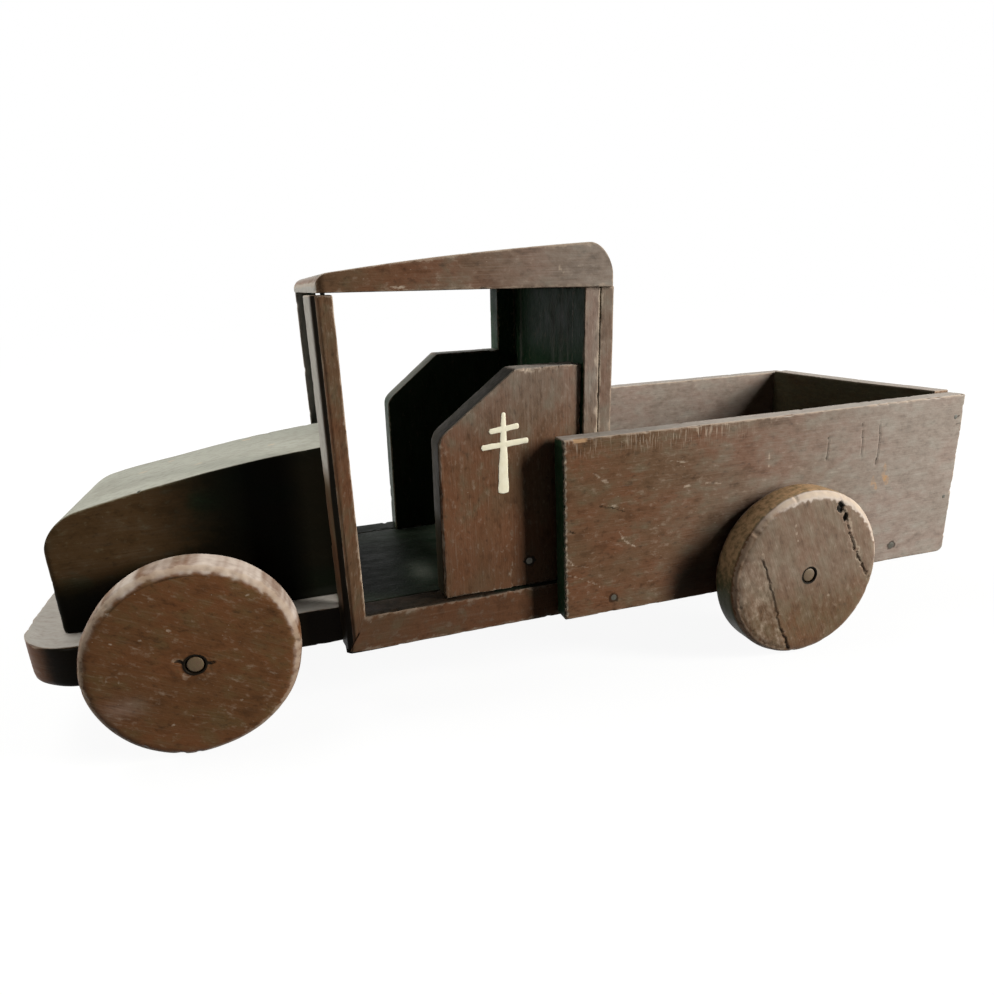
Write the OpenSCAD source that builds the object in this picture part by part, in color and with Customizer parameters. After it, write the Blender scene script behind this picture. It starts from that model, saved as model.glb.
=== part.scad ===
// Painted wooden toy truck with an open cab and an open box.
// +X is the front, +Y the truck's left side, +Z up. The wheels stand on z = 0,
// and the origin is under the middle of the truck.

/* [Floor board] */
// Overall length, from the front end of the board to the outside of the tailgate
truck_l = 450; // [420:1:500]
// Thickness of the floor board
board_t = 17; // [14:0.5:22]
// Width of the board under the bonnet and between the cab sides
board_w = 96; // [88:1:112]
// Radius of the two front corners, seen from above
nose_r = 24; // [4:1:30]
// How far the front end of the board is bowed up
nose_rise = 2.8; // [0:0.1:4]

/* [Wheels] */
// Wheel diameter
wheel_d = 83.5; // [74:0.5:90]
// Wheel thickness
wheel_t = 18; // [12:0.5:24]
// Radius worn on both edges of the rim
rim_r = 5; // [1:0.5:6]
// Front end of the board to the front axle
front_axle_in = 69; // [60:0.5:74]
// Outside of the tailgate to the rear axle
rear_axle_in = 107.5; // [60:0.5:130]
// Height of the axle over the underside of the board
axle_up = 11.75; // [6:0.25:13]
// Gap between a wheel and the wood behind it
wheel_gap = 1.5; // [0.5:0.1:4]

/* [Axle pins] */
// Diameter of a pin's shank
pin_d = 4; // [3:0.1:6]
// Diameter of a pin's head
pin_head_d = 6.4; // [6.2:0.1:8]
// Thickness of a pin's head
pin_head_t = 1.6; // [1:0.1:2.5]
// Length of pin held in the board
pin_hold = 22; // [12:0.5:30]
// Radial clearance of a wheel on its pin
pin_play = 0.08; // [0.04:0.01:0.1]
// Radial clearance round a pin's head, in its recess
head_play = 1; // [0.4:0.1:1.4]
// Depth of a pin's head below the face of the wheel
head_sink = 0.2; // [0.1:0.1:0.8]
// Gap between a pin's head and the bottom of its recess
head_gap = 0.3; // [0.2:0.1:0.8]

/* [Bonnet] */
// Front end of the board to the front of the cab posts
nose_l = 126.5; // [118:0.5:140]
// Margin of board left in front of the bonnet
bonnet_in = 15.8; // [8:0.1:24]
// Width of the bonnet block
bonnet_w = 69; // [56:1:84]
// Height of the bonnet over the board, at the cab
bonnet_h = 70; // [60:0.5:80]
// How far the bonnet runs back past the front of the cab posts
bonnet_back = 6.5; // [2:0.5:12]
// Fall of the bonnet's top towards the front, in degrees
bonnet_fall = 9; // [4:0.5:11]
// Swell of the bonnet's top over a straight line
bonnet_crown = 2.2; // [0:0.1:3]
// Radius of the bonnet's nose, seen from the side
bonnet_nose_r = 20; // [6:0.5:24]
// Radius of the bonnet's two upright front edges
bonnet_edge_r = 3; // [2:0.5:12]

/* [Cab] */
// Front of the cab posts to the back of the cab, along the floor
cab_l = 124.2; // [112:0.1:132]
// Thickness of the two cab sides
side_t = 13.5; // [10:0.5:18]
// Height of the left rear post over the floor
post_h = 130; // [118:0.5:145]
// Width of a front post
front_post_w = 10.5; // [8:0.5:16]
// How far a front post leans back over its height
front_post_lean = 1; // [0:0.1:3]
// Bevel on a front post's outer edge
post_bevel = 4; // [1:0.5:5]
// Width of the left rear post
rear_post_left_w = 7; // [6:0.5:12]
// Width of the right rear post
rear_post_right_w = 10; // [6:0.5:12]
// Gap between the left front post and the roof
post_gap = 0.6; // [0:0.1:1]
// Rearward lean of the doors, the rear posts and the back of the cab, in degrees
rake = 1.5; // [0:0.1:3]
// Thickness of the back of the cab
back_t = 6.5; // [4:0.5:10]

/* [Doors] */
// Length of the left door
door_left_l = 64.6; // [50:0.1:76]
// Length of the right door
door_right_l = 65.5; // [50:0.1:76]
// Height of a door
door_h = 99; // [80:0.5:112]
// Thickness of a door
door_t = 15; // [12:0.5:18]
// How far a door's face stands in from the face of the cab side
door_in = 2; // [0:0.1:4]
// Gap between a door and the rear post
door_gap = 0.9; // [0.2:0.1:0.9]
// Length of the left door's slanted corner, along its top
slant_left_l = 34.5; // [10:0.5:40]
// Height of the left door's slanted corner
slant_left_h = 26.5; // [10:0.5:40]
// Length of the right door's slanted corner, along its top
slant_right_l = 29; // [10:0.5:40]
// Height of the right door's slanted corner
slant_right_h = 23.5; // [10:0.5:40]

/* [Seat] */
// Depth of the seat block, front to back
seat_l = 49; // [40:1:60]
// Height of the seat block
seat_h = 35; // [20:1:45]

/* [Roof] */
// How far the roof's back edge stands in from the back of the cab
roof_in = 1.6; // [-6:0.1:3]
// Overhang of the roof past each cab side
roof_over = 1.5; // [0:0.5:6]
// Thickness at the front
roof_front_t = 6; // [5:0.5:10]
// Thickness at the back
roof_back_t = 18; // [11:0.5:24]
// Rise of the roof's underside towards the front
roof_rise = 2.4; // [0:0.1:4]
// Rise of the roof from its left edge to its right edge
roof_tilt = 2.6; // [0:0.1:4]
// How far the roof's left front corner stands behind its right one
roof_skew = 4.2; // [0:0.1:6]
// Swell of the roof's top over a straight line
roof_crown = 1.2; // [0:0.1:4]
// Radius of the roof's rounded back edge
roof_back_r = 12; // [4:0.5:16]
// Radius of the roof's rounded front edge
roof_front_r = 4; // [2:0.5:4.5]
// Radius of the roof's front corners, seen from above
roof_corner_r = 1.5; // [1:0.5:10]

/* [Box] */
// Thickness of the two box sides
box_t = 10; // [8:0.5:14]
// Height of the box sides
box_h = 86; // [78:0.5:100]
// How far the box sides run forward past the back of the cab, along the floor
box_lap = 25.7; // [18:0.1:30]
// Rise of a box side's lower edge towards the front
box_rise = 2; // [0:0.1:4]
// Radius of a box side's lower rear corner
box_corner_r = 4; // [1:0.5:10]
// Thickness of the tailgate
gate_t = 10; // [8:0.5:14]
// How far the tailgate stands over the box sides
gate_up = 1; // [0:0.5:6]

/* [Nails] */
// Diameter of a nail's shank
nail_d = 1.8; // [1.2:0.1:2.4]
// Head diameter of the nails in the box sides and the doors
nail_head_d = 4.2; // [3:0.1:5]
// Head diameter of the nails in the tailgate, the roof and the back of the cab
brad_head_d = 2.6; // [2.6:0.1:4]
// Thickness of a nail's head
nail_head_t = 0.8; // [0.6:0.1:1]
// Length of nail held in the wood behind
nail_hold = 18; // [8:0.5:20]
// Length of nail held in a rear post, from behind
brad_hold = 5; // [3:0.5:5]
// Radial clearance round a driven pin or nail
drive_fit = 0.05; // [0.03:0.01:0.1]
// Back of the cab to the box sides' front nails
front_nail_x = 1.2; // [-8:0.1:5]
// Rear end to the box sides' rear nails
rear_nail_in = 37; // [20:0.5:60]
// Height of the box sides' nails over the underside of the board
side_nail_up = 9; // [5:0.5:12]
// Height of the door nail over the floor
door_nail_up = 12; // [6:0.5:18]
// Rear post to the door nail
door_nail_x = 24.4; // [10:0.1:34]
// Height of the tailgate's lower nails over the underside of the board
gate_nail_low = 32; // [16:0.5:40]
// Height of the tailgate's upper nails over the underside of the board
gate_nail_high = 75; // [50:0.5:80]
// Height of the lower nails in the back of the cab, over the floor
back_nail_low = 52; // [20:1:60]
// Height of the upper nails in the back of the cab, over the floor
back_nail_high = 104; // [80:1:114]

/* [Hidden] */
$fn = 72;

// Colours of the paint, the bare metal and the interior
paint = "#5b4331";
paint_front = "#4a3a2a";
paint_inside = "#35352a";
steel = "#a39a8a";

// Small overlap that lets a cutter pass a face
eps = 0.5;
// Steps in a round stretch of an outline
arc_n = 12;
// Depth of the roof nails' heads below the roof's top
brad_sink = 0.5;

// Heights
axle_z = wheel_d / 2;
z_under = axle_z - axle_up;
z_floor = z_under + board_t;
z_post = z_floor + post_h;
z_box = z_under + box_h;

// Places along the truck
x_nose = truck_l / 2;
x_tail = -truck_l / 2;
x_cab = x_nose - nose_l;
x_back = x_cab - cab_l;
x_step = x_back + back_t;
x_post = x_step + rear_post_left_w;
x_box = x_back + box_lap;
x_bonnet = x_nose - bonnet_in;
x_axle_front = x_nose - front_axle_in;
x_axle_rear = x_tail + rear_axle_in;

// Places across the truck
cab_w = board_w + 2 * side_t;
y_side = cab_w / 2;
y_box = y_side + box_t;
y_door = y_side - door_in;
y_seat = y_door - door_t;
y_wheel_front = board_w / 2 + wheel_gap;
y_wheel_rear = y_box + wheel_gap;
y_roof_nail = y_side - 0.65 * side_t;
y_back_nail = y_side - 0.3 * side_t;

// Recess for a pin's head
recess_t = head_sink + pin_head_t + head_gap;

// Roof: its ends, the radius of its round back edge and the ends of its crowned top
x_roof = x_cab - front_post_lean;
x_roof_back = raked(x_back, z_post) + roof_in;
roof_w = cab_w + 2 * roof_over;
roof_b = min(roof_back_r, roof_back_t - 1);
roof_p = [x_roof, z_post + roof_rise + roof_front_t];
roof_q = [x_roof_back + roof_b, z_post + roof_back_t];
// Slope of the roof's top at its front
roof_slope = (roof_q[1] - roof_p[1] + 4 * roof_crown) / (roof_p[0] - roof_q[0]);
// Height that every post passes before the roof's underside trims it
z_trim = z_post + roof_rise + roof_tilt + 1;

// A raked edge: where a line that stands at x on the floor is at height z
function raked(x, z) = x - (z - z_floor) * tan(rake);

// A front post's face at height z
function post_face(z) = x_cab - front_post_lean * (z - z_under) / (z_post - z_under);

// Front face of a rear post, on the floor
function rear_post_face(side) =
    x_step + (side > 0 ? rear_post_left_w : rear_post_right_w);

// Height of the roof's underside along its left edge
function roof_under(x) = z_post + roof_rise * (x - x_roof_back) / (x_roof - x_roof_back);

// Height of the bowed board over its straight stretch at x
function bow(x) = nose_rise * max(0, x - x_cab) / nose_l;

// Points of an arc of radius r about c, from angle a to angle b
function arc(c, r, a, b) =
    [for (i = [0:arc_n]) let (t = a + (b - a) * i / arc_n) c + r * [cos(t), sin(t)]];

// Points of a line from p to q that swells by h, both ends left out
function swell(p, q, h) =
    [for (i = [1:arc_n - 1]) let (t = i / arc_n) p + (q - p) * t + [0, 4 * h * t * (1 - t)]];

// An outline in X and Z, carried across the truck from y0 to y1
module across(y0, y1) {
    translate([0, y1, 0]) rotate([90, 0, 0]) linear_extrude(y1 - y0) children();
}

// The same on the truck's left side (side = 1) or its right side (side = -1)
module across_side(side, y_in, y_out) {
    if (side > 0) across(y_in, y_out) children();
    else across(-y_out, -y_in) children();
}

// Points of the rounded front of a plan outline, from the left side to the right side
function round_front(x, w, r) =
    concat(arc([x - r, w / 2 - r], r, 90, 0), arc([x - r, r - w / 2], r, 0, -90));

// A rod that starts at p and runs l towards the middle of the truck
module rod_in(side, p, r, l) {
    translate([p[0], side * p[1], p[2]]) rotate([side * 90, 0, 0]) cylinder(r = r, h = l);
}

// Floor board: narrow under the bonnet and the cab, wide between the box sides
module board_plan() {
    polygon(concat(
        round_front(x_nose, board_w, nose_r),
        [[x_step, -board_w / 2], [x_step, -y_side], [x_tail + gate_t, -y_side],
         [x_tail + gate_t, y_side], [x_step, y_side], [x_step, board_w / 2]]));
}

module board_profile() {
    polygon([[x_tail + gate_t, z_under], [x_cab, z_under], [x_nose, z_under + nose_rise],
             [x_nose, z_floor + nose_rise], [x_cab, z_floor], [x_tail + gate_t, z_floor]]);
}

module floor_board() color(paint) difference() {
    intersection() {
        across(-y_side, y_side) board_profile();
        translate([0, 0, z_under - eps])
            linear_extrude(board_t + nose_rise + 2 * eps) board_plan();
    }
    for (side = [-1, 1]) {
        front_pin(side, drive_fit);
        rear_pin(side, drive_fit);
        box_side_nails(side, drive_fit);
    }
}

// Bonnet: a block with a sloping top and a round nose, on the bowed board
module bonnet_profile() {
    r = bonnet_nose_r;
    p = [x_cab - bonnet_back, z_floor + bonnet_h];
    c_x = x_bonnet - r;
    c = [c_x, p[1] - (c_x - p[0]) * tan(bonnet_fall) - r / cos(bonnet_fall)];
    nose = arc(c, r, 0, 90 - bonnet_fall - atan(4 * bonnet_crown / (c_x - p[0])));
    polygon(concat([[p[0], z_floor], [x_cab, z_floor], [x_bonnet, z_floor + bow(x_bonnet)]],
                   nose, swell(nose[arc_n], p, bonnet_crown), [p]));
}

module bonnet() color(paint_front) intersection() {
    across(-bonnet_w / 2, bonnet_w / 2) bonnet_profile();
    translate([0, 0, z_under]) linear_extrude(board_t + bonnet_h + 5) polygon(concat(
        round_front(x_bonnet, bonnet_w, bonnet_edge_r),
        [[x_cab - bonnet_back, -bonnet_w / 2], [x_cab - bonnet_back, bonnet_w / 2]]));
}

// Roof's tilt, about its lower left edge
module tilted() {
    translate([0, roof_w / 2, z_post]) rotate([-atan(roof_tilt / roof_w), 0, 0])
        translate([0, -roof_w / 2, -z_post]) children();
}

// Room under the roof
module below_roof() {
    x_a = x_roof_back - 30;
    x_b = x_roof + 30;
    tilted() across(-roof_w, roof_w)
        polygon([[x_a, 0], [x_b, 0], [x_b, roof_under(x_b)], [x_a, roof_under(x_a)]]);
}

// Cab side: front post, sill and rear post in one frame, open at the top
module cab_side_profile(side) {
    w = front_post_w;
    x_r = rear_post_face(side);
    z_f = side > 0 ? roof_under(x_cab - w) - post_gap : z_trim;
    polygon([[post_face(z_under), z_under], [post_face(z_f), z_f],
             [post_face(z_f) - w, z_f], [post_face(z_floor) - w, z_floor],
             [x_r, z_floor], [raked(x_r, z_trim), z_trim],
             [raked(x_step, z_trim), z_trim], [x_step, z_floor], [x_step, z_under]]);
}

// Bevel along the outer front edge of a front post, leaning as the post does
module post_bevel_cut(side) {
    b = post_bevel;
    lean = atan(front_post_lean / (z_post - z_under));
    translate([x_cab, side * y_side, z_under]) rotate([0, -lean, 0])
        translate([0, 0, -eps]) linear_extrude(z_trim - z_under + 2 * eps)
            polygon([[-b, side * eps], [-b, 0], [0, -side * b], [eps, -side * b], [eps, side * eps]]);
}

module cab_side(side) color(paint) difference() {
    intersection() {
        across_side(side, board_w / 2, y_side) cab_side_profile(side);
        below_roof();
    }
    post_bevel_cut(side);
    roof_side_nails(side, drive_fit);
    back_side_nails(side, drive_fit);
}

// Back of the cab, behind the rear posts
module cab_back() color(paint) difference() {
    intersection() {
        across(-y_side, y_side) polygon([[x_step, z_floor], [raked(x_step, z_trim), z_trim],
                                         [raked(x_back, z_trim), z_trim], [x_back, z_floor]]);
        below_roof();
    }
    for (side = [-1, 1]) back_side_nails(side, drive_fit);
}

// Roof: flat below, thicker at the back, its front and back edges rounded
// Height of the roof's top at x, behind its front edge
function roof_top(x) =
    let (t = (roof_p[0] - x) / (roof_p[0] - roof_q[0]))
    t < 1 ? roof_p[1] + (roof_q[1] - roof_p[1]) * t + 4 * roof_crown * t * (1 - t)
          : roof_q[1] - roof_b + sqrt(roof_b * roof_b - (roof_q[0] - x) * (roof_q[0] - x));

// Outline from the side, with a plain front
module roof_profile() {
    polygon(concat([[x_roof_back, z_post], [x_roof + eps, roof_under(x_roof + eps)],
                    roof_p + eps * [1, -roof_slope], roof_p],
                   swell(roof_p, roof_q, roof_crown),
                   arc(roof_q - [0, roof_b], roof_b, 90, 180)));
}

// Outline from the side that rounds the front edge, its front at x = 0
module roof_front_profile() {
    r = roof_front_r;
    a = atan(roof_slope);
    l = truck_l / 2;
    c = [-r, roof_p[1] + r * roof_slope - r / cos(a)];
    polygon(concat([[-l, z_post - 9], [0, z_post - 9]], arc(c, r, 0, 90 - a),
                   [c + [-l, l * roof_slope + r / cos(a)]]));
}

// Outline from above, with the slanting front
module roof_plan() {
    r = roof_corner_r;
    h = roof_w / 2 - r;
    a = atan(roof_skew / (2 * h));
    polygon(concat(arc([x_roof - roof_skew - r, h], r, 90, a), arc([x_roof - r, -h], r, a, -90),
                   [[x_roof_back, -roof_w / 2], [x_roof_back, roof_w / 2]]));
}

module roof() color(paint) difference() {
    tilted() intersection() {
        across(-roof_w / 2, roof_w / 2) roof_profile();
        translate([0, 0, z_post - 5]) linear_extrude(roof_rise + roof_back_t + 10) roof_plan();
        translate([x_roof, -roof_w / 2, 0]) rotate([0, 0, atan(roof_skew / roof_w)])
            across(-9, roof_w + 9) roof_front_profile();
    }
    for (side = [-1, 1]) roof_side_nails(side, drive_fit);
}

// Door: a board on the sill, its upper front corner cut away, against the rear post.
// slant is the length and the height of the corner cut away.
module door_profile(back, l, slant) {
    z_top = z_floor + door_h;
    polygon([[back, z_floor], [back + l, z_floor],
             [raked(back + l, z_top - slant[1]), z_top - slant[1]],
             [raked(back + l, z_top) - slant[0], z_top], [raked(back, z_top), z_top]]);
}

module door(side, l, slant) color(paint) difference() {
    across_side(side, y_seat, y_door)
        door_profile(rear_post_face(side) + door_gap, l, slant);
    door_nail(side, drive_fit);
}

// Seat block between the doors, against the back of the cab
module seat() color(paint_inside) difference() {
    z_seat = z_floor + seat_h;
    across(-y_seat, y_seat) polygon([[x_step, z_floor], [x_step + seat_l, z_floor],
                                     [x_step + seat_l, z_seat], [raked(x_step, z_seat), z_seat]]);
    for (side = [-1, 1]) door_nail(side, drive_fit);
}

// Box side: over the outside of the cab side, its lower rear corner rounded
module box_side_profile() {
    r = box_corner_r;
    polygon(concat(
        [[x_box, z_box], [x_box, z_under + box_rise]],
        arc([x_tail + r, z_under + r], r, 270, 180),
        [[x_tail, z_box]]));
}

module box_side(side) color(paint) difference() {
    across_side(side, y_side, y_box) box_side_profile();
    rear_pin(side, drive_fit);
    box_side_nails(side, drive_fit);
    tailgate_side_nails(side, drive_fit);
}

// Tailgate: between the box sides, flush with their ends
module tailgate() color(paint) difference() {
    across(-y_side, y_side) polygon([[x_tail, z_under], [x_tail + gate_t, z_under],
                                     [x_tail + gate_t, z_box + gate_up], [x_tail, z_box + gate_up]]);
    for (side = [-1, 1]) tailgate_side_nails(side, drive_fit);
}

// Half of a wheel's section: x outwards from the axle, y along it from the inner face
module wheel_section() {
    r = wheel_d / 2 - rim_r;
    difference() {
        union() {
            square([r, wheel_t]);
            translate([0, rim_r]) square([wheel_d / 2, wheel_t - 2 * rim_r]);
            for (y = [rim_r, wheel_t - rim_r]) translate([r, y]) circle(r = rim_r);
        }
        translate([-r, -eps]) square([r + pin_d / 2 + pin_play, wheel_t + 2 * eps]);
        translate([-r, wheel_t - recess_t])
            square([r + pin_head_d / 2 + head_play, recess_t + eps]);
    }
}

// Wheel whose inner face lies at y_in from the middle of the truck
module wheel(side, x, y_in) color(paint)
    translate([x, side * y_in, axle_z]) rotate([side * -90, 0, 0])
        rotate_extrude() wheel_section();

// Axle pin for a wheel whose inner face lies at y_in, held in wood whose face lies at
// y_wood. With grow it is the hole for the pin's shank, wider by grow.
module pin(side, x, y_in, y_wood, grow = 0) color(steel) {
    y_head = y_in + wheel_t - head_sink;
    rod_in(side, [x, y_head, axle_z], pin_d / 2 + grow, y_head - y_wood + pin_hold + grow);
    if (grow == 0) rod_in(side, [x, y_head, axle_z], pin_head_d / 2, pin_head_t);
}

module front_pin(side, grow = 0) {
    pin(side, x_axle_front, y_wheel_front, board_w / 2, grow);
}

module rear_pin(side, grow = 0) {
    pin(side, x_axle_rear, y_wheel_rear, y_side, grow);
}

// Nail with its head's top at the origin, driven l deep along +Z; grow widens it for its
// hole, which is open above the head
module nail(head_d, l, grow) {
    up = grow > 0 ? 3 : 0;
    translate([0, 0, -up]) cylinder(r = head_d / 2 + grow, h = up + nail_head_t + grow);
    cylinder(r = nail_d / 2 + grow, h = l + grow);
}

// Nail driven from the side, towards the middle of the truck
module nail_in(side, p, head_d, l, grow) color(steel)
    translate([p[0], side * p[1], p[2]]) rotate([side * 90, 0, 0]) nail(head_d, l, grow);

module box_side_nails(side, grow = 0) {
    for (x = [x_back + front_nail_x, x_tail + rear_nail_in])
        nail_in(side, [x, y_box, z_under + side_nail_up], nail_head_d, box_t + nail_hold, grow);
}

module door_nail(side, grow = 0) {
    nail_in(side, [x_post + door_nail_x, y_door, z_floor + door_nail_up], nail_head_d,
            door_t + nail_hold, grow);
}

module tailgate_side_nails(side, grow = 0) {
    for (up = [gate_nail_low, gate_nail_high])
        nail_in(side, [x_tail + gate_t / 2, y_box, z_under + up], brad_head_d,
                box_t + nail_hold, grow);
}

// Nails driven down through the roof into the posts
module roof_side_nails(side, grow = 0) color(steel) {
    for (x = [x_roof - 0.7 * front_post_w, raked(x_step, z_post) + rear_post_left_w / 2]) {
        lift = roof_tilt * (1 / 2 - side * y_roof_nail / roof_w);
        z = roof_top(x) + lift - brad_sink;
        translate([x, side * y_roof_nail, z]) rotate([180, 0, 0])
            nail(brad_head_d, z - z_post + nail_hold, grow);
    }
}

// Nails driven forwards through the back of the cab into the rear posts
module back_side_nails(side, grow = 0) color(steel) {
    for (up = [back_nail_low, back_nail_high]) {
        z = z_floor + up;
        translate([raked(x_back, z), side * y_back_nail, z]) rotate([0, 90 + rake, 0])
            nail(brad_head_d, back_t + brad_hold, grow);
    }
}

floor_board();
bonnet();
cab_side(1);  // cab_side_left
cab_side(-1);  // cab_side_right
cab_back();
roof();
door(1, door_left_l, [slant_left_l, slant_left_h]);  // door_left
door(-1, door_right_l, [slant_right_l, slant_right_h]);  // door_right
seat();
box_side(1);  // box_side_left
box_side(-1);  // box_side_right
tailgate();
wheel(1, x_axle_front, y_wheel_front);  // wheel_front_left
wheel(-1, x_axle_front, y_wheel_front);  // wheel_front_right
wheel(1, x_axle_rear, y_wheel_rear);  // wheel_rear_left
wheel(-1, x_axle_rear, y_wheel_rear);  // wheel_rear_right
front_pin(1);  // pin_front_left
front_pin(-1);  // pin_front_right
rear_pin(1);  // pin_rear_left
rear_pin(-1);  // pin_rear_right
for (side = [-1, 1]) box_side_nails(side);  // box_nails
for (side = [-1, 1]) door_nail(side);  // door_nails
for (side = [-1, 1]) tailgate_side_nails(side);  // tailgate_nails
for (side = [-1, 1]) roof_side_nails(side);  // roof_nails
for (side = [-1, 1]) back_side_nails(side);  // back_nails
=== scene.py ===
"""Worn, painted wooden toy truck: hand-sawn boards, solid wheels, nails and a painted cross.

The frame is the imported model: +X is the front, +Y the truck's left side, +Z up. Sizes
are in millimetres up to piece(), which makes metres of them. A side is 1 for the truck's
left and -1 for its right.
"""

import math
from types import SimpleNamespace

import bpy
import numpy as np
from mathutils import Matrix, Vector


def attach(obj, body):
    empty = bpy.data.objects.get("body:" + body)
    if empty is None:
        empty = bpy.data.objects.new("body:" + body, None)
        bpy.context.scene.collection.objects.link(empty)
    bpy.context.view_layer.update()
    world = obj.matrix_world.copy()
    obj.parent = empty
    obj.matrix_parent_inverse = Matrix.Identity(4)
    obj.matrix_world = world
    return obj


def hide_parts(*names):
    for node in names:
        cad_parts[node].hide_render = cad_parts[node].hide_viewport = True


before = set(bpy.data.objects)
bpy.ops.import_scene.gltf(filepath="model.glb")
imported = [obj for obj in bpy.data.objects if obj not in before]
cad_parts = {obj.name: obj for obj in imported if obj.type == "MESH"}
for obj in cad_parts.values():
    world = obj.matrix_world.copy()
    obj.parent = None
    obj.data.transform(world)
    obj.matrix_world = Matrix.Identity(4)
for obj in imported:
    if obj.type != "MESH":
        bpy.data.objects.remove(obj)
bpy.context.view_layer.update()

MM = 0.001
BOTH, HAND = (1, -1), {1: "left", -1: "right"}

# Places along the truck
X_NOSE, X_TAIL, X_CAB, X_BACK, X_STEP = 225.0, -225.0, 98.5, -25.7, -19.2
X_BONNET, X_BONNET_BACK, X_ROOF, X_ROOF_BACK = 209.2, 92.0, 97.5, -27.504
X_SEAT, X_FLOOR_BACK = 29.8, -215.0
X_POST = {1: -12.2, -1: -8.4}
X_AXLE = {"front": 156.0, "rear": -117.5}

# Heights
Z_UNDER, Z_FLOOR, Z_POST, Z_BOX, Z_AXLE = 30.0, 47.0, 177.0, 116.0, 41.75
Z_DOOR, Z_BONNET = 146.0, 117.0

# Places across the truck
Y_NARROW, Y_SIDE, Y_BOX, Y_DOOR, Y_SEAT = 48.0, 61.5, 71.5, 59.5, 44.5
Y_ROOF, Y_BONNET = 63.0, 34.5
Y_WHEEL = {"front": 49.5, "rear": 73.0}

# Nails; the paint is dark in a ring round each, painted shade of the hole it is sunk in
BOX_NAILS_X, BOX_NAILS_Z = (-24.5, -188), 39
DOOR_NAIL = (12.2, 59)
ROOF_NAILS_Y, ROOF_NAILS_DROP = 52.725, 1.088

WHEEL_R, WHEEL_T, RIM_R, BORE_R, RECESS_R, RECESS_T = 41.75, 18.0, 5.0, 2.08, 3.8, 2.1
RAKE = math.tan(math.radians(1.5))
# The roof's underside rises to the front and to the right; the posts and the back reach
# a little into it, so that no gap shows along its uneven surface
ROOF_RISE, ROOF_TILT, ROOF_BITE = 2.4, 2.6, 0.4


def raked(x, z):
    """Where a line that stands at x on the floor is at height z."""
    return x - (z - Z_FLOOR) * RAKE


def bow(x):
    """How far the floor board is bent up at x."""
    return 2.8 * np.maximum(0, x - X_CAB) / (X_NOSE - X_CAB)


def under_roof(x, y):
    """Height of the roof's underside."""
    return (Z_POST + ROOF_RISE * (x - X_ROOF_BACK) / (X_ROOF - X_ROOF_BACK)
            + ROOF_TILT * (Y_ROOF - y) / (2 * Y_ROOF))


# ---------------- formulas on points


def noise(p, size, seed):
    """Smooth noise from 0 to 1 at the points p: every corner of a lattice with cells of
    that size gets a number from its place and the seed, and the numbers of the eight
    corners round a point are blended with smooth steps."""
    q = p / np.asarray(size, float) + seed * 0.37
    cell = np.floor(q).astype(np.int64)
    t = q - cell
    t = t * t * (3 - 2 * t)
    total = np.zeros(len(p))
    for corner in range(8):
        step = np.array([corner & 1, corner >> 1 & 1, corner >> 2])
        k = cell + step
        h = k[:, 0] * 73856093 ^ k[:, 1] * 19349663 ^ k[:, 2] * 83492791 ^ seed * 40503
        h = (h ^ h >> 13) * 1274126177 & 0xFFFFFFFF
        total += np.prod(np.where(step, t, 1 - t), axis=1) * (h >> 8 & 0xFFFF) / 65535
    return total


def flat_noise(p, size, seed):
    """The same noise on a flat face; size is one number or a pair."""
    flat = np.column_stack([p, np.zeros(len(p))])
    return noise(flat, np.append(np.broadcast_to(size, 2), 1), seed)


def smooth(x, low, high):
    """0 at low, 1 at high and a smooth step between; low may be the larger."""
    t = np.clip((x - low) / (high - low), 0, 1)
    return t * t * (3 - 2 * t)


def facing(away, axis):
    """1 where a surface looks along that local axis and 0 where it doesn't, with a soft
    step over the worn edges; -away asks for the opposite face."""
    return smooth(away[:, axis], 0.3, 0.7)


def toward(p, x, z):
    """How nearly a point lies in the direction (x, z) from the middle: the cosine."""
    return (x * p[:, 0] + z * p[:, 1]) / np.hypot(p[:, 0], p[:, 1])


def dip(beyond, r):
    """How far a quarter round of radius r has fallen from its top, that far beyond its
    start: r - sqrt(r^2 - beyond^2)."""
    u = np.clip(beyond, 0, r)
    return r - np.sqrt(np.maximum(r * r - u * u, 0))


def stroke(p, line, width, ragged=0.4):
    """1 on a line of that width through the places, 0 beside it, with ragged edges."""
    best = np.full(len(p), 1e9)
    for s, e in zip(np.array(line[:-1], float), np.array(line[1:], float)):
        t = np.clip((p - s) @ (e - s) / ((e - s) @ (e - s)), 0, 1)
        best = np.minimum(best, np.linalg.norm(p - s - t[:, None] * (e - s), axis=1))
    best += (flat_noise(p, 1.3, 3) - 0.5) * ragged * width
    return smooth(best, width * 0.62, width * 0.3)


def strokes(p, rows, ragged):
    """The sum of strokes, each given by the numbers of its places and, last, its width."""
    return sum(stroke(p, np.reshape(row[:-1], (-1, 2)), row[-1], ragged) for row in rows)


def spot(p, place, half, ragged=0.5):
    """1 in a patch with those half sizes about a place, 0 outside, with a ragged edge."""
    d = np.linalg.norm((p - np.array(place)) / np.array(half), axis=1)
    d += (flat_noise(p, 1.4, 5) - 0.5) * ragged
    return smooth(d, 1.15, 0.8)


def spots(p, rows, ragged):
    """The sum of spots, each given by the two numbers of its place and its half sizes."""
    return sum(spot(p, row[:2], row[2:], ragged) for row in rows)


# ---------------- meshes


def places(length, step):
    """Places of the lattice planes along an edge: dense at both ends, where wear rounds
    the edges, and about step apart between them."""
    ends = np.array([0, 0.3, 0.7, 1.2, 1.8, 2.5, 3.2, 4.0])
    ends = ends[ends < length * 0.32]
    room = length - 2 * ends[-1]
    middle = np.linspace(0, room, max(2, round(room / step) + 1))[1:-1] + ends[-1]
    return np.concatenate([ends, middle, length - ends[::-1]])


def round_end(length, r, count):
    """Places over the last r of a length, where its end is round."""
    return length - r * (1 - np.cos(np.linspace(np.pi / 2, 0, count)))


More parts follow.
